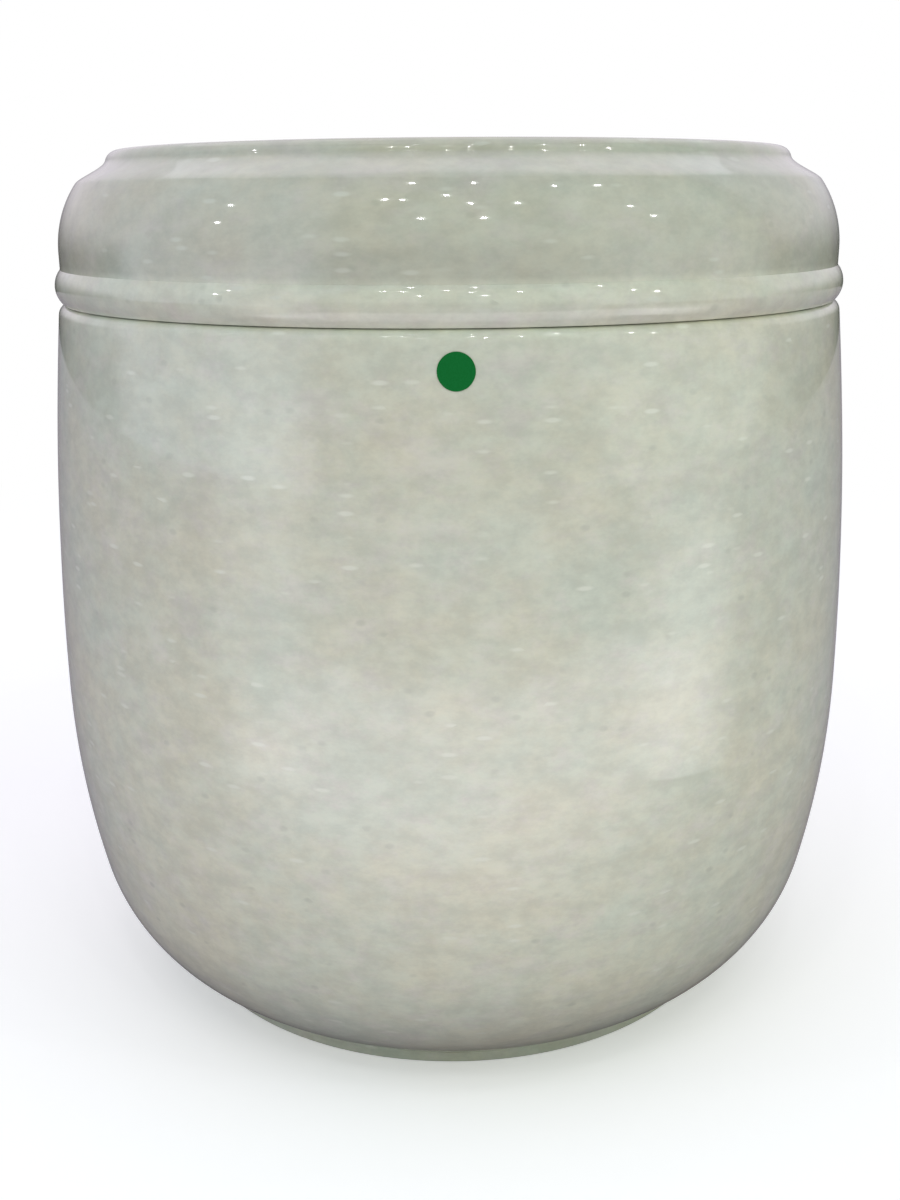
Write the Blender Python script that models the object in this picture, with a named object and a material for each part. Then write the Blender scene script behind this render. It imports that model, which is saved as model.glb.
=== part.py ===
"""Turned stone urn with a lift-off lid and a round sticker on its front.

Units are metres, +Z is up, and the urn stands on Z = 0 with its axis on the Z axis.
The front, with the sticker, faces -Y. Outlines are lists of (radius, height).
"""

import bpy
import bmesh
from math import asin, atan2, cos, hypot, pi, radians, sin, sqrt
from mathutils import Matrix, Vector

# Body, outside
WIDEST_RADIUS = 0.1100
WIDEST_HEIGHT = 0.0885
RIM_HEIGHT = 0.1898
NECK_TAPER = 0.0059
RIM_ROUNDING = 0.0028
HAUNCH_ARC_RADIUS = 0.2440
HAUNCH_END_HEIGHT = 0.0364

# Foot ring
FOOT_RADIUS = 0.0803
FOOT_HEIGHT = 0.0030
FOOT_LEDGE = 0.0006
FOOT_ROUNDING = 0.0006
FOOT_RING_WIDTH = 0.0140
FOOT_RECESS_DEPTH = 0.0020
FOOT_RECESS_SLOPE = 0.0020

# Body, inside
WALL_THICKNESS = 0.0120
FLOOR_HEIGHT = 0.0140
CAVITY_CORNER_RADIUS = 0.0360
MOUTH_ROUNDING = 0.0010

# Lid, outside
LID_HEIGHT = 0.0374
SKIRT_SETBACK = 0.0009
SKIRT_HEIGHT = 0.0127
SHOULDER_ARC_RADIUS = 0.0286
SHOULDER_END_LEAN = radians(36.0)
LID_TOP_SETBACK = 0.0132
LID_TOP_ROUNDING = 0.0034
LID_TOP_EDGE_LEAN = radians(15.0)
CREASE_SOFTNESS = 0.20
BEAD_HEIGHT = 0.0086
BEAD_STAND = 0.0016
BEAD_UNDERCUT = 0.0002

# Lid, inside
LID_THICKNESS = 0.0120
LIP_DEPTH = 0.0060
LIP_THICKNESS = 0.0060
LIP_CHAMFER = 0.0008
LID_INSIDE_ROUNDING = 0.0060

# Sticker
STICKER_DIAMETER = 0.0080
STICKER_THICKNESS = 0.0003
STICKER_DROP = 0.0084
STICKER_SIDE_SHIFT = 0.0013

# Fits
TOUCH_GAP = 0.0003
LIP_CLEARANCE = 0.0006

# Facets
SEGMENTS = 64
STICKER_SEGMENTS = 48
SHARP_ANGLE = radians(28.0)
WELD_DISTANCE = 0.000001

# Finishes: linear colour and roughness
JADE_BODY = ((0.50, 0.53, 0.42), 0.22)
JADE_LID = ((0.46, 0.49, 0.38), 0.22)
GREEN_PAPER = ((0.005, 0.135, 0.026), 0.60)


def arc(centre, radius, start, end, steps):
    """Points on a circle from one angle to another, both ends included."""
    angles = [start + (end - start) * step / steps for step in range(steps + 1)]
    return [(centre[0] + radius * cos(a), centre[1] + radius * sin(a)) for a in angles]


def arc_radius(half_chord, rise):
    """Radius of the arc that stands out by rise over half a chord."""
    return (half_chord ** 2 + rise ** 2) / (2 * rise)


def ogee(start, start_lean, end, end_lean, steps):
    """S curve that goes down and out, leaving each end at its lean from the vertical."""
    reach = CREASE_SOFTNESS * hypot(end[0] - start[0], end[1] - start[1])
    first = (start[0] + reach * sin(start_lean), start[1] - reach * cos(start_lean))
    second = (end[0] - reach * sin(end_lean), end[1] + reach * cos(end_lean))
    points = []
    for step in range(steps + 1):
        t = step / steps
        weights = ((1 - t) ** 3, 3 * t * (1 - t) ** 2, 3 * t ** 2 * (1 - t), t ** 3)
        corners = (start, first, second, end)
        points.append(tuple(sum(w * c[axis] for w, c in zip(weights, corners)) for axis in (0, 1)))
    return points


# Arcs of the body's wall. The upper arc runs from the widest height to the neck, the haunch
# arc goes down from the widest height, and the belly arc goes on from it and turns in to the foot.

UPPER_ARC_RADIUS = arc_radius(RIM_HEIGHT - WIDEST_HEIGHT, NECK_TAPER)
UPPER_ARC_CENTRE = (WIDEST_RADIUS - UPPER_ARC_RADIUS, WIDEST_HEIGHT)
HAUNCH_ARC_CENTRE = (WIDEST_RADIUS - HAUNCH_ARC_RADIUS, WIDEST_HEIGHT)
HAUNCH_END_ANGLE = asin((HAUNCH_END_HEIGHT - WIDEST_HEIGHT) / HAUNCH_ARC_RADIUS)


def belly_arc():
    """Centre, radius and end angle of the arc from the haunch's end to the foot's ledge."""
    start_radius = HAUNCH_ARC_CENTRE[0] + HAUNCH_ARC_RADIUS * cos(HAUNCH_END_ANGLE)
    inward = (-cos(HAUNCH_END_ANGLE), -sin(HAUNCH_END_ANGLE))
    end = (FOOT_RADIUS - FOOT_LEDGE, FOOT_HEIGHT)
    across = end[0] - start_radius
    down = end[1] - HAUNCH_END_HEIGHT
    radius = (across ** 2 + down ** 2) / (2 * (across * inward[0] + down * inward[1]))
    centre = (start_radius + radius * inward[0], HAUNCH_END_HEIGHT + radius * inward[1])
    return centre, radius, atan2(end[1] - centre[1], end[0] - centre[0])


def upper_arc_at(height, inset):
    """Radius and angle of the upper arc at a height, on a surface set in from the outside."""
    radius = UPPER_ARC_RADIUS - inset
    rise = height - UPPER_ARC_CENTRE[1]
    across = sqrt(radius ** 2 - rise ** 2)
    return UPPER_ARC_CENTRE[0] + across, atan2(rise, across)


def body_outside():
    """From the rim's flat top over its rounded edge and down the wall to the foot's ledge."""
    centre_height = RIM_HEIGHT - RIM_ROUNDING
    centre_radius, lean = upper_arc_at(centre_height, RIM_ROUNDING)
    belly_centre, belly_radius, belly_end_angle = belly_arc()
    points = arc((centre_radius, centre_height), RIM_ROUNDING, pi / 2, lean, 3)
    points += arc(UPPER_ARC_CENTRE, UPPER_ARC_RADIUS, lean, 0, 6)[1:]
    points += arc(HAUNCH_ARC_CENTRE, HAUNCH_ARC_RADIUS, 0, HAUNCH_END_ANGLE, 4)[1:]
    points += arc(belly_centre, belly_radius, HAUNCH_END_ANGLE, belly_end_angle, 8)[1:]
    return points


def foot():
    """Foot ring from its ledge down to the ground and in to the shallow recess below."""
    inner = FOOT_RADIUS - FOOT_RING_WIDTH
    points = [(FOOT_RADIUS, FOOT_HEIGHT)]
    points += arc((FOOT_RADIUS - FOOT_ROUNDING, FOOT_ROUNDING), FOOT_ROUNDING, 0, -pi / 2, 2)
    points += [(inner, 0.0), (inner - FOOT_RECESS_SLOPE, FOOT_RECESS_DEPTH), (0.0, FOOT_RECESS_DEPTH)]
    return points


def body_inside():
    """From the middle of the cavity's floor up the wall to the mouth's rounded edge."""
    haunch_radius = HAUNCH_ARC_RADIUS - WALL_THICKNESS
    upper_radius = UPPER_ARC_RADIUS - WALL_THICKNESS
    corner_height = FLOOR_HEIGHT + CAVITY_CORNER_RADIUS
    centres = haunch_radius - CAVITY_CORNER_RADIUS
    turn = asin((corner_height - WIDEST_HEIGHT) / centres)
    corner = (HAUNCH_ARC_CENTRE[0] + centres * cos(turn), corner_height)
    centre_height = RIM_HEIGHT - MOUTH_ROUNDING
    centre_radius, lean = upper_arc_at(centre_height, WALL_THICKNESS - MOUTH_ROUNDING)
    points = [(0.0, FLOOR_HEIGHT)]
    points += arc(corner, CAVITY_CORNER_RADIUS, -pi / 2, turn, 6)
    points += arc(HAUNCH_ARC_CENTRE, haunch_radius, turn, 0, 3)[1:]
    points += arc(UPPER_ARC_CENTRE, upper_radius, 0, lean, 4)[1:]
    points += arc((centre_radius, centre_height), MOUTH_ROUNDING, pi + lean, pi / 2, 2)[1:]
    return points


# Heights and radii of the lid that follow from the body it rests on.

LID_SEAT = RIM_HEIGHT + TOUCH_GAP
LID_TOP = LID_SEAT + LID_HEIGHT
SKIRT_RADIUS = WIDEST_RADIUS - NECK_TAPER - SKIRT_SETBACK
MOUTH_RADIUS = upper_arc_at(RIM_HEIGHT, WALL_THICKNESS)[0]
LIP_RADIUS = MOUTH_RADIUS - LIP_CLEARANCE


def lid_crown():
    """Flat top with a rounded edge, ogee below it, and the shoulder down to the skirt."""
    edge_radius = SKIRT_RADIUS - LID_TOP_SETBACK
    edge_centre = (edge_radius - LID_TOP_ROUNDING, LID_TOP - LID_TOP_ROUNDING)
    shoulder_centre = (SKIRT_RADIUS - SHOULDER_ARC_RADIUS, LID_SEAT + SKIRT_HEIGHT)
    edge = arc(edge_centre, LID_TOP_ROUNDING, pi / 2, LID_TOP_EDGE_LEAN, 4)
    shoulder = arc(shoulder_centre, SHOULDER_ARC_RADIUS, SHOULDER_END_LEAN, 0, 4)
    curve = ogee(edge[-1], LID_TOP_EDGE_LEAN, shoulder[0], SHOULDER_END_LEAN, 6)
    return [(0.0, LID_TOP)] + edge + curve[1:-1] + shoulder


def lid_bead():
    """Round bead at the foot of the skirt, undercut where it comes down on the rim."""
    half = BEAD_HEIGHT / 2
    tip = SKIRT_RADIUS + BEAD_STAND
    upper_radius = arc_radius(half, BEAD_STAND)
    lower_radius = arc_radius(half, BEAD_STAND + BEAD_UNDERCUT)
    upper_angle = atan2(half, upper_radius - BEAD_STAND)
    lower_angle = atan2(half, lower_radius - BEAD_STAND - BEAD_UNDERCUT)
    points = arc((tip - upper_radius, LID_SEAT + half), upper_radius, upper_angle, 0, 3)
    points += arc((tip - lower_radius, LID_SEAT + half), lower_radius, 0, -lower_angle, 3)[1:]
    return points


def lid_inside():
    """Seat, locating lip that drops into the mouth, and the hollow above it."""
    inner = LIP_RADIUS - LIP_THICKNESS
    lip_end = LID_SEAT - LIP_DEPTH
    ceiling = LID_TOP - LID_THICKNESS
    corner = (inner - LID_INSIDE_ROUNDING, ceiling - LID_INSIDE_ROUNDING)
    points = [(LIP_RADIUS, LID_SEAT), (LIP_RADIUS, lip_end + LIP_CHAMFER)]
    points += [(LIP_RADIUS - LIP_CHAMFER, lip_end), (inner + LIP_CHAMFER, lip_end)]
    points += [(inner, lip_end + LIP_CHAMFER)]
    points += arc(corner, LID_INSIDE_ROUNDING, 0, pi / 2, 4)
    return points + [(0.0, ceiling)]


def material(name, finish):
    """Plain Principled material with a finish's colour and roughness."""
    colour, roughness = finish
    made = bpy.data.materials.new(name)
    made.use_nodes = True
    shader = made.node_tree.nodes["Principled BSDF"]
    shader.inputs["Base Color"].default_value = (*colour, 1.0)
    shader.inputs["Roughness"].default_value = roughness
    shader.inputs["Metallic"].default_value = 0.0
    return made


def add_object(name, bm, finish):
    """Put a finished bmesh in the scene as a smooth-shaded object with its own material."""
    bmesh.ops.recalc_face_normals(bm, faces=bm.faces)
    mesh = bpy.data.meshes.new(name)
    bm.to_mesh(mesh)
    bm.free()
    mesh.shade_smooth()
    mesh.set_sharp_from_angle(angle=SHARP_ANGLE)
    mesh.materials.append(material(name, finish))
    made = bpy.data.objects.new(name, mesh)
    bpy.context.collection.objects.link(made)
    return made


def turned(name, outline, finish):
    """Solid of revolution about the Z axis from an outline that starts and ends on it."""
    bm = bmesh.new()
    points = [bm.verts.new((radius, 0.0, height)) for radius, height in outline]
    edges = [bm.edges.new(pair) for pair in zip(points, points[1:])]
    bmesh.ops.spin(
        bm, geom=points + edges, cent=(0, 0, 0), axis=(0, 0, 1), angle=2 * pi, steps=SEGMENTS
    )
    bmesh.ops.remove_doubles(bm, verts=bm.verts, dist=WELD_DISTANCE)
    return add_object(name, bm, finish)


def sticker():
    """Thin round disc that lies against the body's wall on the front."""
    height = RIM_HEIGHT - STICKER_DROP
    wall_radius, lean = upper_arc_at(height, 0.0)
    around = atan2(STICKER_SIDE_SHIFT, wall_radius)
    lift = TOUCH_GAP + STICKER_THICKNESS / 2
    out = Vector((sin(around) * cos(lean), -cos(around) * cos(lean), sin(lean)))
    on_wall = Vector((wall_radius * sin(around), -wall_radius * cos(around), height))
    bm = bmesh.new()
    bmesh.ops.create_cone(
        bm,
        cap_ends=True,
        segments=STICKER_SEGMENTS,
        radius1=STICKER_DIAMETER / 2,
        radius2=STICKER_DIAMETER / 2,
        depth=STICKER_THICKNESS,
    )
    made = add_object("green_dot", bm, GREEN_PAPER)
    facing = out.to_track_quat("Z", "Y").to_matrix().to_4x4()
    made.matrix_world = Matrix.Translation(on_wall + out * lift) @ facing


for old in list(bpy.data.objects):
    bpy.data.objects.remove(old)

turned("urn_body", body_inside() + body_outside() + foot(), JADE_BODY)
turned("urn_lid", lid_crown() + lid_bead() + lid_inside(), JADE_LID)
sticker()
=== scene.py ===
import bpy
import bmesh
from math import asin, atan2, cos, hypot, pi, radians, sin, sqrt
from mathutils import Matrix, Vector, noise


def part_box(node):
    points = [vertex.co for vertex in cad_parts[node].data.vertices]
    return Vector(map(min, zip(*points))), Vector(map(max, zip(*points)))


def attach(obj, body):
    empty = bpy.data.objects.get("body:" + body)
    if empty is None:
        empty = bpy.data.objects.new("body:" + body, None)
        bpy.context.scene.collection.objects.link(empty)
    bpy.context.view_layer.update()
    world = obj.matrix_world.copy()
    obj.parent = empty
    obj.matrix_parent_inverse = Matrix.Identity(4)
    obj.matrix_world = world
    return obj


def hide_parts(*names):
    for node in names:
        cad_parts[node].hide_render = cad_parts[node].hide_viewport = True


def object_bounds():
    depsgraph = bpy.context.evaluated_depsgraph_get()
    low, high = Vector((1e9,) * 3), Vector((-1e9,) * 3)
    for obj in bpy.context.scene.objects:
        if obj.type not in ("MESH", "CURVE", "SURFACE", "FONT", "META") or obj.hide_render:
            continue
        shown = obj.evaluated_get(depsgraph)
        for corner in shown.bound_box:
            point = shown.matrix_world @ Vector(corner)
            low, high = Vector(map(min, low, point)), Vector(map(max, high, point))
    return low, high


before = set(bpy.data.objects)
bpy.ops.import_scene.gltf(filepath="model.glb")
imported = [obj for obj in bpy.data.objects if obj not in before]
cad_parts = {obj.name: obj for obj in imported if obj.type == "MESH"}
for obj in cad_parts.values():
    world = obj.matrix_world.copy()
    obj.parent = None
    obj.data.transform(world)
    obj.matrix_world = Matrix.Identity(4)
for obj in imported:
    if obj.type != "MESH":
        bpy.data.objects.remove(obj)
cad_low, cad_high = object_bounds()
scene = bpy.context.scene


# Camera
# A close handheld view from the front, a little above the rim and tipped down at the belly,
# so the flat top of the lid is edge on.

LENS_MM = 40.38
CAMERA_DISTANCE = 0.3813
CAMERA_HEIGHT = 0.2152
CAMERA_SIDE_SHIFT = -0.0003
CAMERA_PITCH = radians(16.6)
CAMERA_ROLL = radians(-0.4)
NEAREST_SEEN = 0.01

camera = bpy.data.objects.new("camera", bpy.data.cameras.new("camera"))
camera.data.lens = LENS_MM
camera.data.clip_start = NEAREST_SEEN
camera.location = (CAMERA_SIDE_SHIFT, -CAMERA_DISTANCE, CAMERA_HEIGHT)
tipped = Matrix.Rotation(pi / 2 - CAMERA_PITCH, 3, "X") @ Matrix.Rotation(CAMERA_ROLL, 3, "Z")
camera.rotation_euler = tipped.to_euler()
scene.collection.objects.link(camera)
scene.camera = camera
scene.view_settings.view_transform = "Standard"


# Studio
# A pale floor that runs on into a white backdrop, under a room of large soft windows, with two
# cards and a ceiling panel for the long reflections, and small ceiling lamps for the sparkles.


def set_sockets(node, values):
    """Plain values for a node's inputs, by socket name."""
    for name, value in values.items():
        node.inputs[name].default_value = (*value, 1.0) if isinstance(value, tuple) else value


def add_node(tree, kind, values=None, **settings):
    """Node of one kind in a tree, with its settings and its inputs' plain values."""
    made = tree.nodes.new(kind)
    for name, value in settings.items():
        setattr(made, name, value)
    set_sockets(made, values or {})
    return made


def maths(tree, operation, first, *others):
    """Result of a maths node whose inputs are sockets or plain numbers."""
    made = add_node(tree, "ShaderNodeMath", operation=operation)
    for index, value in enumerate((first, *others)):
        if isinstance(value, (int, float)):
            made.inputs[index].default_value = value
        else:
            tree.links.new(value, made.inputs[index])
    return made.outputs[0]


def ramp(tree, source, low, high):
    """Value from 0 to 1 as a source goes from low to high, with soft ends."""
    made = add_node(tree, "ShaderNodeMapRange", interpolation_type="SMOOTHSTEP")
    set_sockets(made, {"From Min": low, "From Max": high})
    tree.links.new(source, made.inputs["Value"])
    return made.outputs["Result"]


def mix_shaders(tree, share, first, second):
    """Shader between two others, at a share from a socket."""
    made = add_node(tree, "ShaderNodeMixShader")
    for socket, source in zip(made.inputs, (share, first, second)):
        tree.links.new(source, socket)
    return made.outputs[0]


def blank_material(name):
    """Material with an empty tree, and its output's surface socket."""
    made = bpy.data.materials.new(name)
    made.use_nodes = True
    made.node_tree.nodes.clear()
    out = add_node(made.node_tree, "ShaderNodeOutputMaterial")
    return made, made.node_tree, out.inputs["Surface"]


def add_object(name, mesh, material):
    """Mesh with its material as an object of the scene."""
    mesh.materials.append(material)
    made = bpy.data.objects.new(name, mesh)
    scene.collection.objects.link(made)
    return made


def direction(azimuth, elevation):
    """Unit vector at degrees from the front toward +X, and degrees above level."""
    turn, rise = radians(azimuth), radians(elevation)
    return Vector((sin(turn) * cos(rise), -cos(turn) * cos(rise), sin(rise)))


def soft_patch(tree, middle, size, softness):
    """Mask of a rectangle on an object's own XY plane, from 1 inside to 0 past its soft edges."""
    spot = add_node(tree, "ShaderNodeTexCoord")
    axes = add_node(tree, "ShaderNodeSeparateXYZ")
    tree.links.new(spot.outputs["Object"], axes.inputs[0])
    sides = []
    for axis, centre, whole in zip("XY", middle, size):
        away = maths(tree, "ABSOLUTE", maths(tree, "SUBTRACT", axes.outputs[axis], centre))
        sides.append(ramp(tree, away, whole / 2, whole / 2 - softness))
    return maths(tree, "MULTIPLY", *sides)


FLOOR_RADIUS = 2.5
FLOOR_SEGMENTS = 96
FLOOR_SEEN = (0.90, 0.90, 0.90)
FLOOR_LIFT = 0.30
FLOOR_FADE = (0.30, 0.75)
FLOOR_UNSEEN = (0.33, 0.30, 0.33)
BACKDROP_COLOUR = (1.0, 1.0, 1.0)
BOUNCE_PLACE = (0.08, -0.34)
BOUNCE_SIZE = (0.84, 0.42)
BOUNCE_SOFTNESS = 0.13
BOUNCE_LIGHT = (1.26, 1.15, 1.25)


def floor_paint():
    """Pale and shadowed for the camera, and for other rays darker, with a glow before the urn."""
    made, tree, surface = blank_material("floor paint")
    pale = add_node(tree, "ShaderNodeBsdfDiffuse", {"Color": FLOOR_SEEN})
    lift = add_node(tree, "ShaderNodeEmission", {"Strength": FLOOR_LIFT})
    near = add_node(tree, "ShaderNodeAddShader")
    tree.links.new(pale.outputs[0], near.inputs[0])
    tree.links.new(lift.outputs[0], near.inputs[1])
    far = add_node(tree, "ShaderNodeEmission", {"Color": BACKDROP_COLOUR})
    place = add_node(tree, "ShaderNodeTexCoord")
    reach = add_node(tree, "ShaderNodeVectorMath", operation="LENGTH")
    tree.links.new(place.outputs["Object"], reach.inputs[0])
    fade = ramp(tree, reach.outputs["Value"], *FLOOR_FADE)
    seen = mix_shaders(tree, fade, near.outputs[0], far.outputs[0])
    unseen = add_node(tree, "ShaderNodeBsdfDiffuse", {"Color": FLOOR_UNSEEN})
    shine = add_node(tree, "ShaderNodeEmission", {"Color": BOUNCE_LIGHT})
    bounce = soft_patch(tree, BOUNCE_PLACE, BOUNCE_SIZE, BOUNCE_SOFTNESS)
    tree.links.new(bounce, shine.inputs["Strength"])
    lit = add_node(tree, "ShaderNodeAddShader")
    tree.links.new(unseen.outputs[0], lit.inputs[0])
    tree.links.new(shine.outputs[0], lit.inputs[1])
    path = add_node(tree, "ShaderNodeLightPath")
    either = mix_shaders(tree, path.outputs["Is Camera Ray"], lit.outputs[0], seen)
    tree.links.new(either, surface)
    made.cycles.emission_sampling = "NONE"
    return made


WINDOW_SOFTNESS = 8.0


def window(tree, azimuth, elevation, middle, half, colour):
    """Light from one part of the room: a soft-edged patch of directions, in degrees."""
    from_middle = maths(tree, "WRAP", maths(tree, "SUBTRACT", azimuth, middle[0]), 180.0, -180.0)
    across = maths(tree, "ABSOLUTE", from_middle)
    up = maths(tree, "ABSOLUTE", maths(tree, "SUBTRACT", elevation, middle[1]))
    sides = ramp(tree, across, half[0] + WINDOW_SOFTNESS, half[0] - WINDOW_SOFTNESS)
    ends = ramp(tree, up, half[1] + WINDOW_SOFTNESS, half[1] - WINDOW_SOFTNESS)
    light = add_node(tree, "ShaderNodeVectorMath", operation="SCALE")
    light.inputs[0].default_value = colour
    tree.links.new(maths(tree, "MULTIPLY", sides, ends), light.inputs["Scale"])
    return light.outputs[0]


ROOM_COLOUR = (0.01, 0.01, 0.01)
ALL_ROUND = 400
ROOM_WINDOWS = {
    "front": ((0, 35), (42, 25), (0.63, 0.68, 0.52)),
    "left": ((-70, 24), (32, 35), (0.86, 0.93, 1.10)),
    "right": ((67, 24), (29, 35), (0.93, 1.07, 1.02)),
    "back": ((180, 33), (80, 29), (0.86, 0.80, 0.90)),
    "top": ((0, 90), (ALL_ROUND, 30), (0.41, 0.39, 0.51)),
}


def room_light():
    """World with the backdrop for the camera and the room's windows for everything else."""
    made = bpy.data.worlds.new("room")
    made.use_nodes = True
    tree = made.node_tree
    tree.nodes.clear()
    place = add_node(tree, "ShaderNodeTexCoord")
    axes = add_node(tree, "ShaderNodeSeparateXYZ")
    tree.links.new(place.outputs["Generated"], axes.inputs[0])
    ahead = maths(tree, "MULTIPLY", axes.outputs["Y"], -1.0)
    azimuth = maths(tree, "DEGREES", maths(tree, "ARCTAN2", axes.outputs["X"], ahead))
    elevation = maths(tree, "DEGREES", maths(tree, "ARCSINE", axes.outputs["Z"]))
    total = add_node(tree, "ShaderNodeCombineXYZ", dict(zip("XYZ", ROOM_COLOUR))).outputs[0]
    for middle, half, colour in ROOM_WINDOWS.values():
        both = add_node(tree, "ShaderNodeVectorMath", operation="ADD")
        tree.links.new(total, both.inputs[0])
        tree.links.new(window(tree, azimuth, elevation, middle, half, colour), both.inputs[1])
        total = both.outputs[0]
    light = add_node(tree, "ShaderNodeBackground")
    tree.links.new(total, light.inputs["Color"])
    backdrop = add_node(tree, "ShaderNodeBackground", {"Color": BACKDROP_COLOUR})
    path = add_node(tree, "ShaderNodeLightPath")
    either = mix_shaders(tree, path.outputs["Is Camera Ray"], light.outputs[0], backdrop.outputs[0])
    out = add_node(tree, "ShaderNodeOutputWorld")
    tree.links.new(either, out.inputs["Surface"])
    return made


def add_glow(tree, surface, light, strength):
    """Light that a surface adds on its front alone, while it lets everything else through."""
    side = add_node(tree, "ShaderNodeNewGeometry")
    front = maths(tree, "SUBTRACT", 1.0, side.outputs["Backfacing"])
    shine = add_node(tree, "ShaderNodeEmission", {"Color": light})
    tree.links.new(maths(tree, "MULTIPLY", front, strength), shine.inputs["Strength"])
    clear = add_node(tree, "ShaderNodeBsdfTransparent")
    both = add_node(tree, "ShaderNodeAddShader")
    tree.links.new(shine.outputs[0], both.inputs[0])
    tree.links.new(clear.outputs[0], both.inputs[1])
    tree.links.new(both.outputs[0], surface)


def show_in_gloss_alone(stage_piece):
    """Stage piece that reflections show, and that neither the camera nor a shadow meets."""
    stage_piece.visible_camera = False
    stage_piece.visible_diffuse = False
    stage_piece.visible_shadow = False
    stage_piece.active_material.cycles.emission_sampling = "NONE"


def add_card(name, place, facing, size, softness, light):
    """Glowing card that only the gloss shows, bright in its middle and soft at its edges."""
    half = (size[0] / 2, size[1] / 2)
    turns = ((-1, -1), (1, -1), (1, 1), (-1, 1))
    corners = [(half[0] * across, half[1] * up, 0.0) for across, up in turns]
    mesh = bpy.data.meshes.new(name)
    mesh.from_pydata(corners, [], [(0, 1, 2, 3)])
    glow, tree, surface = blank_material(name)
    add_glow(tree, surface, light, soft_patch(tree, (0.0, 0.0), size, softness))
    card = add_object(name, mesh, glow)
    card.location = place
    card.rotation_euler = Vector(facing).to_track_quat("Z", "Y").to_euler()
    show_in_gloss_alone(card)


PANEL_RISE = 1.0
PANEL_BACK = (0.0, 0.64)
PANEL_RIGHT_SIDE = [(0.32, 0.81), (0.735, 1.50), (0.90, 0.86), (0.55, -0.15)]
PANEL_FRONT = (0.0, -0.38)
PANEL_LIGHT = (0.40, 0.38, 0.42)


def add_ceiling_panel():
    """Wide pale panel under the ceiling, cut in an arch whose ends come forward on both sides."""
    mirrored = [(-x, y) for x, y in PANEL_RIGHT_SIDE]
    outline = [PANEL_BACK] + PANEL_RIGHT_SIDE + [PANEL_FRONT] + mirrored[::-1]
    mesh = bpy.data.meshes.new("ceiling_panel")
    mesh.from_pydata([(x, y, cad_high.z + PANEL_RISE) for x, y in outline], [], [range(len(outline))])
    glow, tree, surface = blank_material("ceiling panel")
    add_glow(tree, surface, PANEL_LIGHT, 1.0)
    show_in_gloss_alone(add_object("ceiling_panel", mesh, glow))


LAMP_DISTANCE = 0.95
LAMP_SIZE = 0.014
LAMP_RADIANCE = 260.0
LEFT_LAMPS = [(-68, 34), (-66, 22), (-21, 46), (-16, 61), (-15, 46), (-8, 31), (-1, 50)]
RIGHT_LAMPS = [(7, 43), (11, 61), (10, 31), (22, 42), (41, 54), (55, 34), (59, 26), (56, 51)]


def add_lamp(name, azimuth, elevation):
    """Small round ceiling lamp that shines at the urn."""
    out = direction(azimuth, elevation)
    lamp = bpy.data.lights.new(name, "AREA")
    lamp.shape = "DISK"
    lamp.size = LAMP_SIZE
    lamp.energy = LAMP_RADIANCE * pi * pi * (LAMP_SIZE / 2) ** 2
    made = bpy.data.objects.new(name, lamp)
    made.location = Vector((0.0, 0.0, cad_high.z)) + out * LAMP_DISTANCE
    made.rotation_euler = (-out).to_track_quat("-Z", "Y").to_euler()
    made.visible_camera = False
    scene.collection.objects.link(made)


floor_mesh = bmesh.new()
bmesh.ops.create_circle(floor_mesh, cap_ends=True, segments=FLOOR_SEGMENTS, radius=FLOOR_RADIUS)
floor_data = bpy.data.meshes.new("floor")
floor_mesh.to_mesh(floor_data)
floor_mesh.free()
floor = add_object("floor", floor_data, floor_paint())
scene.world = room_light()

add_card(
    "left_card",
    place=(-0.191, -0.2155, 0.095),
    facing=(0.191, 0.178, 0),
    size=(0.155, 0.25),
    softness=0.06,
    light=(0.80, 0.86, 0.88),
)
add_card(
    "right_card",
    place=(0.2328, -0.168, 0.055),
    facing=(-0.2328, 0.132, 0),
    size=(0.200, 0.24),
    softness=0.09,
    light=(1.45, 1.48, 1.5),
)
add_ceiling_panel()
for number, place in enumerate(LEFT_LAMPS + RIGHT_LAMPS, start=1):
    add_lamp(f"lamp_{number}", *place)


# Urn body
# One block of pale grey-green jade, turned and hollowed on a lathe with its foot ring left on,
# then polished by hand all over to a wet gloss.

WIDEST_RADIUS = cad_high.x
WIDEST_HEIGHT = 0.0885
RIM_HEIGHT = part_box("urn_body")[1].z
NECK_TAPER = 0.0059
RIM_ROUNDING = 0.0028
HAUNCH_ARC_RADIUS = 0.2440
HAUNCH_END_HEIGHT = 0.0364
FOOT_RADIUS = 0.0803
FOOT_HEIGHT = 0.0030
FOOT_LEDGE = 0.0006
FOOT_ROUNDING = 0.0006
FOOT_RING_WIDTH = 0.0140
FOOT_RECESS_DEPTH = 0.0020
FOOT_RECESS_SLOPE = 0.0020
WALL_THICKNESS = 0.0120
FLOOR_HEIGHT = 0.0140
CAVITY_CORNER_RADIUS = 0.0360
MOUTH_ROUNDING = 0.0010
ROUND_SEGMENTS = 384
POLISH_DEPTH = 0.00012
POLISH_SPACING = 0.030
SHARP_ANGLE = radians(28)


def arc(centre, radius, start, end, steps):
    """Points on a circle from one angle to another, both ends included."""
    angles = [start + (end - start) * step / steps for step in range(steps + 1)]
    return [(centre[0] + radius * cos(a), centre[1] + radius * sin(a)) for a in angles]


def arc_radius(half_chord, rise):
    """Radius of the arc that stands out by rise over half a chord."""
    return (half_chord ** 2 + rise ** 2) / (2 * rise)


def straight(start, end, steps):
    """Points on a line between two points, its ends left out."""
    shares = [step / steps for step in range(1, steps)]
    return [tuple(a + (b - a) * share for a, b in zip(start, end)) for share in shares]


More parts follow.
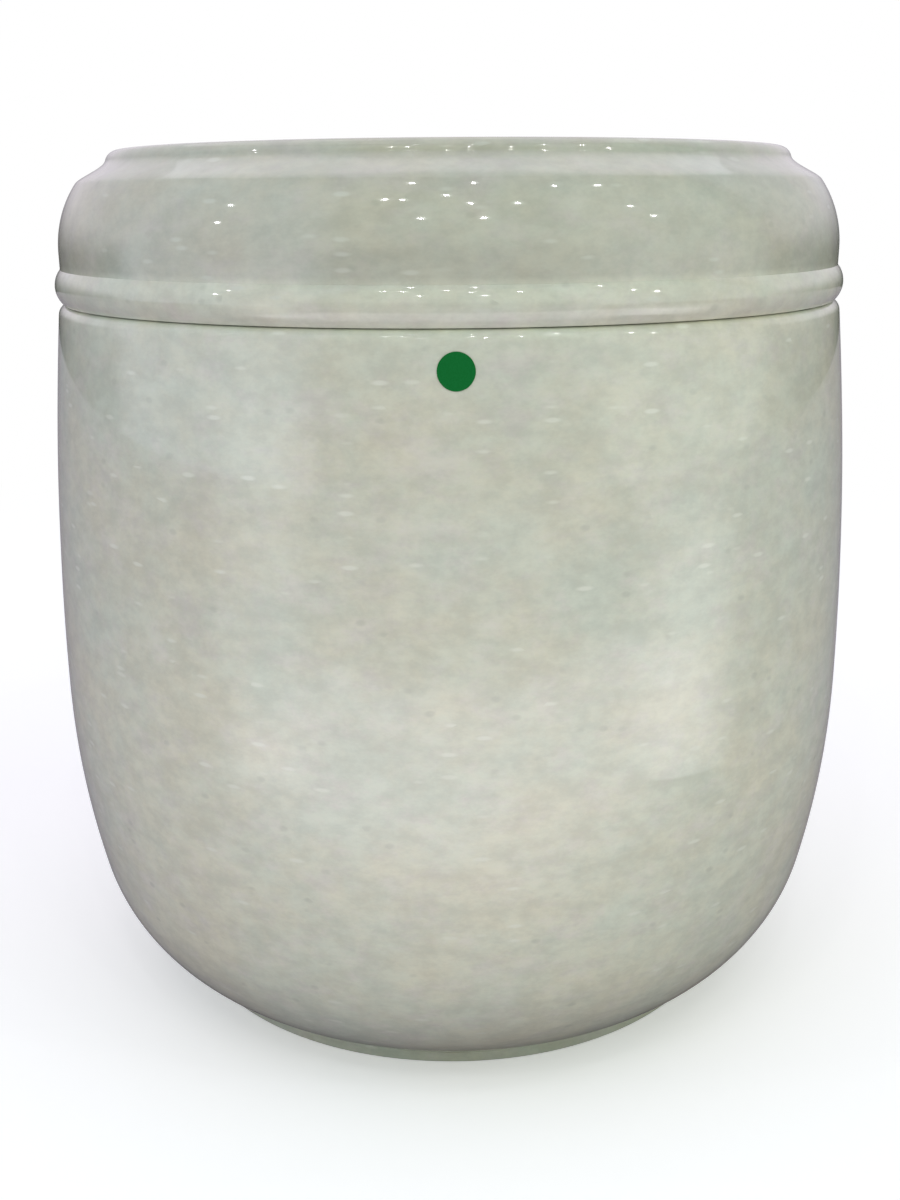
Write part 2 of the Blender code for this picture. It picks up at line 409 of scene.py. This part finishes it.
UPPER_ARC_RADIUS = arc_radius(RIM_HEIGHT - WIDEST_HEIGHT, NECK_TAPER)
UPPER_ARC_CENTRE = (WIDEST_RADIUS - UPPER_ARC_RADIUS, WIDEST_HEIGHT)
HAUNCH_ARC_CENTRE = (WIDEST_RADIUS - HAUNCH_ARC_RADIUS, WIDEST_HEIGHT)
HAUNCH_END_ANGLE = asin((HAUNCH_END_HEIGHT - WIDEST_HEIGHT) / HAUNCH_ARC_RADIUS)


def belly_arc():
    """Centre, radius and end angle of the arc from the haunch's end to the foot's ledge."""
    start_radius = HAUNCH_ARC_CENTRE[0] + HAUNCH_ARC_RADIUS * cos(HAUNCH_END_ANGLE)
    inward = (-cos(HAUNCH_END_ANGLE), -sin(HAUNCH_END_ANGLE))
    end = (FOOT_RADIUS - FOOT_LEDGE, FOOT_HEIGHT)
    across = end[0] - start_radius
    down = end[1] - HAUNCH_END_HEIGHT
    radius = (across ** 2 + down ** 2) / (2 * (across * inward[0] + down * inward[1]))
    centre = (start_radius + radius * inward[0], HAUNCH_END_HEIGHT + radius * inward[1])
    return centre, radius, atan2(end[1] - centre[1], end[0] - centre[0])


def upper_arc_at(height, inset):
    """Radius and angle of the upper arc at a height, on a surface set in from the outside."""
    radius = UPPER_ARC_RADIUS - inset
    rise = height - UPPER_ARC_CENTRE[1]
    across = sqrt(radius ** 2 - rise ** 2)
    return UPPER_ARC_CENTRE[0] + across, atan2(rise, across)


def body_outside():
    """From the rim's flat top over its rounded edge and down the wall to the foot's ledge."""
    centre_height = RIM_HEIGHT - RIM_ROUNDING
    centre_radius, lean = upper_arc_at(centre_height, RIM_ROUNDING)
    belly_centre, belly_radius, belly_end_angle = belly_arc()
    points = arc((centre_radius, centre_height), RIM_ROUNDING, pi / 2, lean, steps=10)
    points += arc(UPPER_ARC_CENTRE, UPPER_ARC_RADIUS, lean, 0, steps=36)[1:]
    points += arc(HAUNCH_ARC_CENTRE, HAUNCH_ARC_RADIUS, 0, HAUNCH_END_ANGLE, steps=20)[1:]
    points += arc(belly_centre, belly_radius, HAUNCH_END_ANGLE, belly_end_angle, steps=28)[1:]
    return points


def foot():
    """Foot ring from its ledge down to the ground and in to the shallow recess below."""
    inner = FOOT_RADIUS - FOOT_RING_WIDTH
    outer = (FOOT_RADIUS, FOOT_HEIGHT)
    points = [outer]
    points += arc((FOOT_RADIUS - FOOT_ROUNDING, FOOT_ROUNDING), FOOT_ROUNDING, 0, -pi / 2, steps=4)
    points += [(inner, 0.0), (inner - FOOT_RECESS_SLOPE, FOOT_RECESS_DEPTH)]
    points += straight(points[-1], (0.0, FOOT_RECESS_DEPTH), steps=8)
    return points + [(0.0, FOOT_RECESS_DEPTH)]


def body_inside():
    """From the middle of the cavity's floor up the wall to the mouth's rounded edge."""
    haunch_radius = HAUNCH_ARC_RADIUS - WALL_THICKNESS
    upper_radius = UPPER_ARC_RADIUS - WALL_THICKNESS
    corner_height = FLOOR_HEIGHT + CAVITY_CORNER_RADIUS
    centres = haunch_radius - CAVITY_CORNER_RADIUS
    turn = asin((corner_height - WIDEST_HEIGHT) / centres)
    corner = (HAUNCH_ARC_CENTRE[0] + centres * cos(turn), corner_height)
    centre_height = RIM_HEIGHT - MOUTH_ROUNDING
    centre_radius, lean = upper_arc_at(centre_height, WALL_THICKNESS - MOUTH_ROUNDING)
    bend = arc(corner, CAVITY_CORNER_RADIUS, -pi / 2, turn, steps=14)
    points = [(0.0, FLOOR_HEIGHT)] + straight((0.0, FLOOR_HEIGHT), bend[0], steps=6) + bend
    points += arc(HAUNCH_ARC_CENTRE, haunch_radius, turn, 0, steps=8)[1:]
    points += arc(UPPER_ARC_CENTRE, upper_radius, 0, lean, steps=14)[1:]
    points += arc((centre_radius, centre_height), MOUTH_ROUNDING, pi + lean, pi / 2, steps=5)[1:]
    return points


def polished(place):
    """A point of a turned surface after hand polishing, which takes a hair more off in places."""
    radius = hypot(place.x, place.y)
    if radius < POLISH_SPACING:
        return place
    worn = POLISH_DEPTH * (1 + noise.noise(place / POLISH_SPACING)) / 2
    share = 1 - worn / radius
    return Vector((place.x * share, place.y * share, place.z))


def turned(name, outline):
    """Closed solid of revolution about the Z axis, from an outline that starts and ends on it."""
    bm = bmesh.new()
    rows = []
    for radius, height in outline:
        if radius == 0.0:
            rows.append([bm.verts.new((0.0, 0.0, height))])
            continue
        turns = [2 * pi * step / ROUND_SEGMENTS for step in range(ROUND_SEGMENTS)]
        ring = [Vector((radius * sin(turn), -radius * cos(turn), height)) for turn in turns]
        rows.append([bm.verts.new(polished(place)) for place in ring])
    for first, second in zip(rows, rows[1:]):
        for step in range(ROUND_SEGMENTS):
            after = (step + 1) % ROUND_SEGMENTS
            if len(first) == 1:
                bm.faces.new((first[0], second[step], second[after]))
            elif len(second) == 1:
                bm.faces.new((first[step], second[0], first[after]))
            else:
                bm.faces.new((first[step], second[step], second[after], first[after]))
    bmesh.ops.recalc_face_normals(bm, faces=bm.faces)
    mesh = bpy.data.meshes.new(name)
    bm.to_mesh(mesh)
    bm.free()
    mesh.shade_smooth()
    mesh.set_sharp_from_angle(angle=SHARP_ANGLE)
    made = bpy.data.objects.new(name, mesh)
    scene.collection.objects.link(made)
    return made


def mask_group(name, masks):
    """Shader node group that puts out named masks, and its output node."""
    group = bpy.data.node_groups.new(name, "ShaderNodeTree")
    for label in masks:
        group.interface.new_socket(label, in_out="OUTPUT", socket_type="NodeSocketFloat")
    return group, group.nodes.new("NodeGroupOutput")


def product(tree, first, second):
    """First value times the second, which may be a socket or a number."""
    return maths(tree, "MULTIPLY", first, second)


def blend(tree, share, first, second):
    """Colour between two, each a socket or a plain colour, at a share from a socket."""
    made = add_node(tree, "ShaderNodeMix", data_type="RGBA")
    tree.links.new(share, made.inputs["Factor"])
    for name, colour in (("A", first), ("B", second)):
        socket = [s for s in made.inputs if s.name == name and s.type == "RGBA"][0]
        if isinstance(colour, tuple):
            socket.default_value = (*colour, 1.0)
        else:
            tree.links.new(colour, socket)
    return [s for s in made.outputs if s.type == "RGBA"][0]


def bedded_place(tree, squash):
    """Position in the stone with heights stretched, so that grains come out flat and level."""
    place = add_node(tree, "ShaderNodeTexCoord")
    made = add_node(tree, "ShaderNodeVectorMath", operation="MULTIPLY")
    made.inputs[1].default_value = (1.0, 1.0, squash)
    tree.links.new(place.outputs["Object"], made.inputs[0])
    return made.outputs[0]


GRAIN_CORE = 0.35
CHANCE_FADE = 0.6


def grain_mask(tree, squash, scale, size, kept):
    """Mask of scattered soft grains: a share of a Voronoi pattern's cells, each kept by chance."""
    cells = add_node(tree, "ShaderNodeTexVoronoi", {"Scale": scale})
    tree.links.new(bedded_place(tree, squash), cells.inputs["Vector"])
    dot = ramp(tree, cells.outputs["Distance"], size, size * GRAIN_CORE)
    chance = add_node(tree, "ShaderNodeSeparateColor")
    tree.links.new(cells.outputs["Color"], chance.inputs[0])
    return product(tree, dot, ramp(tree, chance.outputs[0], 1 - kept, 1 - kept * CHANCE_FADE))


CLOUD_ROUGHNESS = 0.72


def cloud_mask(tree, squash, scale, detail, low, high):
    """Soft clouds from level noise, as a value from 0 to 1."""
    cloud = add_node(tree, "ShaderNodeTexNoise", {"Scale": scale, "Detail": detail})
    set_sockets(cloud, {"Roughness": CLOUD_ROUGHNESS})
    tree.links.new(bedded_place(tree, squash), cloud.inputs["Vector"])
    return ramp(tree, cloud.outputs["Fac"], low, high)


def jade_figure():
    """Group with the stone's masks: tint, blush, shade, pale flecks, grey spots and dark pins."""
    names = ("Tint", "Blush", "Shade", "Flecks", "Spots", "Pins")
    group, out = mask_group("jade figure", names)
    masks = {
        "Tint": cloud_mask(group, squash=1.3, scale=20.0, detail=6.0, low=0.30, high=0.70),
        "Blush": cloud_mask(group, squash=1.5, scale=90.0, detail=4.0, low=0.45, high=0.75),
        "Shade": cloud_mask(group, squash=1.7, scale=125.0, detail=4.0, low=0.25, high=0.75),
        "Flecks": grain_mask(group, squash=3.5, scale=140.0, size=0.36, kept=0.16),
        "Spots": grain_mask(group, squash=1.6, scale=210.0, size=0.34, kept=0.12),
        "Pins": grain_mask(group, squash=1.0, scale=60.0, size=0.026, kept=0.30),
    }
    for name, mask in masks.items():
        group.links.new(mask, out.inputs[name])
    return group


JADE_FIGURE = jade_figure()
SHADE_RANGE = (0.905, 1.095)
BLUSH_SHARE = 0.6
FLECK_SHARE = 0.55
SPOT_SHARE = 0.30
PIN_COLOUR = (0.05, 0.06, 0.06)
STONE_IOR = 1.6
GLOSS_RANGE = (0.035, 0.06)


def painted_light_by_height(tree, painted_light_band):
    """Painted light: a factor of brightness that rises to its full gain between two heights in the
    stone, standing in for light that falls more on that band.
    """
    start, full, gain = painted_light_band
    place = add_node(tree, "ShaderNodeTexCoord")
    axes = add_node(tree, "ShaderNodeSeparateXYZ")
    tree.links.new(place.outputs["Object"], axes.inputs[0])
    return maths(tree, "MULTIPLY_ADD", ramp(tree, axes.outputs["Z"], start, full), gain, 1.0)


def jade(name, green, warm, blush, pale, grey, painted_light_band):
    """Polished jade in its own shades: clouds, pale flecks and grey spots, with painted light that
    brightens it between two heights.
    """
    made = bpy.data.materials.new(name)
    made.use_nodes = True
    tree = made.node_tree
    shader = tree.nodes["Principled BSDF"]
    figure = add_node(tree, "ShaderNodeGroup", node_tree=JADE_FIGURE)
    masks = figure.outputs
    colour = blend(tree, masks["Tint"], green, warm)
    colour = blend(tree, product(tree, masks["Blush"], BLUSH_SHARE), colour, blush)
    shade = add_node(tree, "ShaderNodeMapRange", {"To Min": SHADE_RANGE[0], "To Max": SHADE_RANGE[1]})
    tree.links.new(masks["Shade"], shade.inputs["Value"])
    shaded = add_node(tree, "ShaderNodeVectorMath", operation="SCALE")
    tree.links.new(colour, shaded.inputs[0])
    # Brightness: the random shade of the stone times the painted light by height.
    brightness = product(tree, shade.outputs["Result"], painted_light_by_height(tree, painted_light_band))
    tree.links.new(brightness, shaded.inputs["Scale"])
    colour = blend(tree, product(tree, masks["Flecks"], FLECK_SHARE), shaded.outputs[0], pale)
    colour = blend(tree, product(tree, masks["Spots"], SPOT_SHARE), colour, grey)
    colour = blend(tree, masks["Pins"], colour, PIN_COLOUR)
    tree.links.new(colour, shader.inputs["Base Color"])
    gloss = add_node(tree, "ShaderNodeMapRange", {"To Min": GLOSS_RANGE[0], "To Max": GLOSS_RANGE[1]})
    tree.links.new(masks["Shade"], gloss.inputs["Value"])
    tree.links.new(gloss.outputs["Result"], shader.inputs["Roughness"])
    set_sockets(shader, {"IOR": STONE_IOR})
    return made


body = turned("jade_body", body_inside() + body_outside() + foot())
BODY_GREEN = (0.610, 0.658, 0.557)
BODY_WARM = (0.670, 0.655, 0.522)
BODY_BLUSH = (0.669, 0.642, 0.588)
BODY_PALE = (0.84, 0.86, 0.76)
BODY_GREY = (0.43, 0.45, 0.38)
# Painted light: the wall is painted up to 11% paler from 16 cm above the ground down to 3 cm, for
# light thrown up from the floor.
BODY_PAINTED_LIGHT = (0.16, 0.03, 0.11)
body.data.materials.append(
    jade("jade body", BODY_GREEN, BODY_WARM, BODY_BLUSH, BODY_PALE, BODY_GREY, BODY_PAINTED_LIGHT)
)
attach(body, "root")
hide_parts("urn_body")


# Lid
# Turned from the same jade: a hollow cap with a flat top, a rounded shoulder and a bead at its
# foot. It lies on the rim, and a lip below keeps it centred in the mouth.

SEAT_GAP = 0.0001
LID_SEAT = RIM_HEIGHT + SEAT_GAP
LID_TOP = cad_high.z
SKIRT_SETBACK = 0.0009
SKIRT_RADIUS = WIDEST_RADIUS - NECK_TAPER - SKIRT_SETBACK
SKIRT_HEIGHT = 0.0127
SHOULDER_ARC_RADIUS = 0.0286
SHOULDER_END_LEAN = radians(36)
LID_TOP_SETBACK = 0.0132
LID_TOP_ROUNDING = 0.0034
LID_TOP_EDGE_LEAN = radians(15)
CREASE_SOFTNESS = 0.20
BEAD_HEIGHT = 0.0086
BEAD_STAND = 0.0016
BEAD_UNDERCUT = 0.0002
LID_THICKNESS = 0.0120
LIP_DEPTH = 0.0060
LIP_THICKNESS = 0.0060
LIP_CHAMFER = 0.0008
LIP_CLEARANCE = 0.0006
LID_INSIDE_ROUNDING = 0.0060
LIP_RADIUS = upper_arc_at(RIM_HEIGHT, WALL_THICKNESS)[0] - LIP_CLEARANCE


def ogee(start, start_lean, end, end_lean, steps):
    """S curve that goes down and out, leaving each end at its lean from the vertical."""
    reach = CREASE_SOFTNESS * hypot(end[0] - start[0], end[1] - start[1])
    first = (start[0] + reach * sin(start_lean), start[1] - reach * cos(start_lean))
    second = (end[0] - reach * sin(end_lean), end[1] + reach * cos(end_lean))
    points = []
    for step in range(steps + 1):
        t = step / steps
        weights = ((1 - t) ** 3, 3 * t * (1 - t) ** 2, 3 * t ** 2 * (1 - t), t ** 3)
        corners = (start, first, second, end)
        points.append(tuple(sum(w * c[axis] for w, c in zip(weights, corners)) for axis in (0, 1)))
    return points


def lid_crown():
    """Flat top with a rounded edge, ogee below it, and the shoulder down to the skirt."""
    edge_radius = SKIRT_RADIUS - LID_TOP_SETBACK
    edge_centre = (edge_radius - LID_TOP_ROUNDING, LID_TOP - LID_TOP_ROUNDING)
    shoulder_centre = (SKIRT_RADIUS - SHOULDER_ARC_RADIUS, LID_SEAT + SKIRT_HEIGHT)
    edge = arc(edge_centre, LID_TOP_ROUNDING, pi / 2, LID_TOP_EDGE_LEAN, steps=14)
    shoulder = arc(shoulder_centre, SHOULDER_ARC_RADIUS, SHOULDER_END_LEAN, 0, steps=18)
    curve = ogee(edge[-1], LID_TOP_EDGE_LEAN, shoulder[0], SHOULDER_END_LEAN, steps=24)
    top = [(0.0, LID_TOP)] + straight((0.0, LID_TOP), edge[0], steps=10)
    return top + edge + curve[1:-1] + shoulder


def lid_bead():
    """Round bead at the foot of the skirt, undercut where it comes down on the rim."""
    half = BEAD_HEIGHT / 2
    tip = SKIRT_RADIUS + BEAD_STAND
    upper_radius = arc_radius(half, BEAD_STAND)
    lower_radius = arc_radius(half, BEAD_STAND + BEAD_UNDERCUT)
    upper_angle = atan2(half, upper_radius - BEAD_STAND)
    lower_angle = atan2(half, lower_radius - BEAD_STAND - BEAD_UNDERCUT)
    points = arc((tip - upper_radius, LID_SEAT + half), upper_radius, upper_angle, 0, steps=9)
    points += arc((tip - lower_radius, LID_SEAT + half), lower_radius, 0, -lower_angle, steps=9)[1:]
    return straight((SKIRT_RADIUS, LID_SEAT + SKIRT_HEIGHT), points[0], steps=3) + points


def lid_inside():
    """Seat, locating lip that drops into the mouth, and the hollow above it."""
    inner = LIP_RADIUS - LIP_THICKNESS
    lip_end = LID_SEAT - LIP_DEPTH
    ceiling = LID_TOP - LID_THICKNESS
    corner = (inner - LID_INSIDE_ROUNDING, ceiling - LID_INSIDE_ROUNDING)
    points = [(LIP_RADIUS, LID_SEAT), (LIP_RADIUS, lip_end + LIP_CHAMFER)]
    points += [(LIP_RADIUS - LIP_CHAMFER, lip_end), (inner + LIP_CHAMFER, lip_end)]
    points += [(inner, lip_end + LIP_CHAMFER)]
    points += arc(corner, LID_INSIDE_ROUNDING, 0, pi / 2, steps=8)
    points += straight(points[-1], (0.0, ceiling), steps=6)
    return points + [(0.0, ceiling)]


lid = turned("jade_lid", lid_crown() + lid_bead() + lid_inside())
LID_GREEN = (0.490, 0.530, 0.445)
LID_WARM = (0.545, 0.535, 0.425)
LID_BLUSH = (0.54, 0.52, 0.47)
LID_PALE = (0.66, 0.69, 0.60)
LID_GREY = (0.38, 0.40, 0.32)
# Painted light: from the foot of the skirt down over the bead, the lid is painted up to 22% paler,
# for the light that the bead's upward face catches.
LID_PAINTED_LIGHT = (0.2003, 0.1983, 0.22)
lid.data.materials.append(
    jade("jade lid", LID_GREEN, LID_WARM, LID_BLUSH, LID_PALE, LID_GREY, LID_PAINTED_LIGHT)
)
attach(lid, "root")
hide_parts("urn_lid")


# Green dot
# A small round sticker of matt green paper, punched out of a sheet and pressed on to the wall
# just below the rim, so that it bends with it.

DOT_DIAMETER = 0.0080
DOT_DROP = 0.0084
DOT_SIDE_SHIFT = 0.0013
PAPER_THICKNESS = 0.00012
DOT_RINGS = 6
DOT_SEGMENTS = 72
PAPER_GREEN = (0.002, 0.140, 0.024)
FIBRE_GREEN = (0.010, 0.20, 0.05)
FIBRE_SHARE = 0.25
PAPER_ROUGHNESS = 0.65
PAPER_SPECULAR = 0.10


def on_wall(across, up, lift):
    """Point on the polished wall, across and up from the dot's middle and lifted off it."""
    height = RIM_HEIGHT - DOT_DROP + up
    radius, lean = upper_arc_at(height, 0.0)
    turn = (DOT_SIDE_SHIFT + across) / radius
    place = polished(Vector((radius * sin(turn), -radius * cos(turn), height)))
    out = Vector((sin(turn) * cos(lean), -cos(turn) * cos(lean), sin(lean)))
    return place + out * lift


def dot_face(bm, lift):
    """Rings of points over the dot, at one lift off the wall."""
    rings = [[bm.verts.new(on_wall(0.0, 0.0, lift))]]
    for ring in range(1, DOT_RINGS + 1):
        radius = DOT_DIAMETER / 2 * ring / DOT_RINGS
        turns = [2 * pi * step / DOT_SEGMENTS for step in range(DOT_SEGMENTS)]
        rings.append([bm.verts.new(on_wall(radius * cos(t), radius * sin(t), lift)) for t in turns])
    for first, second in zip(rings, rings[1:]):
        for step in range(DOT_SEGMENTS):
            after = (step + 1) % DOT_SEGMENTS
            if len(first) == 1:
                bm.faces.new((first[0], second[step], second[after]))
            else:
                bm.faces.new((first[step], second[step], second[after], first[after]))
    return rings[-1]


dot_bm = bmesh.new()
back_edge = dot_face(dot_bm, 0.0)
front_edge = dot_face(dot_bm, PAPER_THICKNESS)
for step in range(DOT_SEGMENTS):
    after = (step + 1) % DOT_SEGMENTS
    dot_bm.faces.new((back_edge[step], back_edge[after], front_edge[after], front_edge[step]))
bmesh.ops.recalc_face_normals(dot_bm, faces=dot_bm.faces)
dot = bpy.data.objects.new("green_paper_dot", bpy.data.meshes.new("green_paper_dot"))
dot_bm.to_mesh(dot.data)
dot_bm.free()
dot.data.shade_smooth()
dot.data.set_sharp_from_angle(angle=SHARP_ANGLE)
scene.collection.objects.link(dot)

green_paper = bpy.data.materials.new("green paper")
green_paper.use_nodes = True
paper_tree = green_paper.node_tree
paper_shader = paper_tree.nodes["Principled BSDF"]
fibre = cloud_mask(paper_tree, squash=1.0, scale=2500.0, detail=3.0, low=0.3, high=0.7)
paper_colour = blend(paper_tree, product(paper_tree, fibre, FIBRE_SHARE), PAPER_GREEN, FIBRE_GREEN)
paper_tree.links.new(paper_colour, paper_shader.inputs["Base Color"])
set_sockets(paper_shader, {"Roughness": PAPER_ROUGHNESS, "Specular IOR Level": PAPER_SPECULAR})
dot.data.materials.append(green_paper)
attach(dot, "root")
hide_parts("green_dot")
